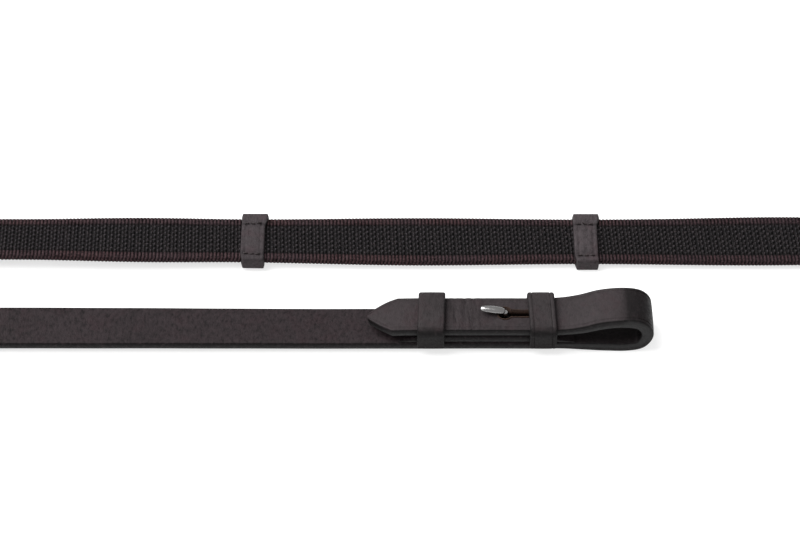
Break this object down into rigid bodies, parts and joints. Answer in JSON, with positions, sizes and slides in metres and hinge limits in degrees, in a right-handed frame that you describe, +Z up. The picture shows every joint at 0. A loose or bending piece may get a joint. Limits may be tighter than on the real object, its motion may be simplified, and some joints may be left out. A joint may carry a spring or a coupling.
{
  "type": "horse reins",
  "caption": "Pair of riding reins in leather and rubber-grip web with hand stops, hook-stud bit loops and a centre buckle, wound into a tied hank.",
  "frame": {"origin": "middle of the floor that the wound-up reins cover, on the surface they lie on", "axes": "+X along the laid-out straps towards the near bit loop and the hank, +Y away from the near bit strap to the web beside it, +Z up"},
  "size_m": [0.645, 0.1064, 0.0236],
  "materials": {
    "strap_leather": "dark brown bridle leather, waxed",
    "billet_leather": "dark brown bridle leather, smooth and creased along the edges",
    "keeper_leather": "dark brown bridle leather, thin",
    "stop_leather": "dark brown leather, slightly greyed and dull, stitched",
    "grip_web": "woven web with ribbed brown edges and a black rubber gripping face",
    "steel": "polished stainless steel",
    "tie_band": "black elastic band, matt"
  },
  "bodies": {
    "reins": {"near_bit_strap": "strap_leather", "near_bit_loop": "billet_leather", "near_stud_strip": "strap_leather", "near_hook_stud": "steel", "near_stud_keeper": "keeper_leather", "near_tip_keeper": "keeper_leather", "near_bit_splice": "strap_leather", "near_web": "grip_web", "near_stop_1": "stop_leather", "near_stop_2": "stop_leather", "near_stop_3": "stop_leather", "near_stop_4": "stop_leather", "near_stop_5": "stop_leather", "near_hand_splice": "strap_leather", "near_hand_strap": "strap_leather", "off_bit_strap": "strap_leather", "off_bit_loop": "billet_leather", "off_stud_strip": "strap_leather", "off_hook_stud": "steel", "off_stud_keeper": "keeper_leather", "off_tip_keeper": "keeper_leather", "off_bit_splice": "strap_leather", "off_web": "grip_web", "off_stop_1": "stop_leather", "off_stop_2": "stop_leather", "off_stop_3": "stop_leather", "off_stop_4": "stop_leather", "off_stop_5": "stop_leather", "off_hand_splice": "strap_leather", "off_hand_strap": "strap_leather", "buckle_chape": "strap_leather", "buckle_keeper": "keeper_leather", "hank_tie": "tie_band"},
    "near_billet": {"near_billet": "billet_leather"},
    "off_billet": {"off_billet": "billet_leather"},
    "buckle_frame": {"buckle_frame": "steel"},
    "buckle_tongue": {"buckle_tongue": "steel"},
    "buckle_runner": {"buckle_runner": "keeper_leather"}
  },
  "joints": [
    {"name": "near_billet_slide", "type": "slide", "parent": "reins", "child": "near_billet", "axis": [-1, 0, 0], "range_m": [0, 0.006], "deforming": ["near_bit_loop"]},
    {"name": "off_billet_slide", "type": "slide", "parent": "reins", "child": "off_billet", "axis": [1, 0, 0], "range_m": [0, 0.006], "deforming": ["off_bit_loop"]},
    {"name": "buckle_frame_hinge", "type": "hinge", "parent": "reins", "child": "buckle_frame", "pos_m": [0.18343, 0.02917, 0.01185], "axis": [0, 0, -1], "range_deg": [0, 6]},
    {"name": "buckle_tongue_hinge", "type": "hinge", "parent": "buckle_frame", "child": "buckle_tongue", "pos_m": [0.18343, 0.02917, 0.01185], "axis": [0, 0, -1], "range_deg": [0, 7]},
    {"name": "buckle_runner_slide", "type": "slide", "parent": "reins", "child": "buckle_runner", "axis": [1, 0, 0], "range_m": [-0.008, 0.025]}
  ]
}
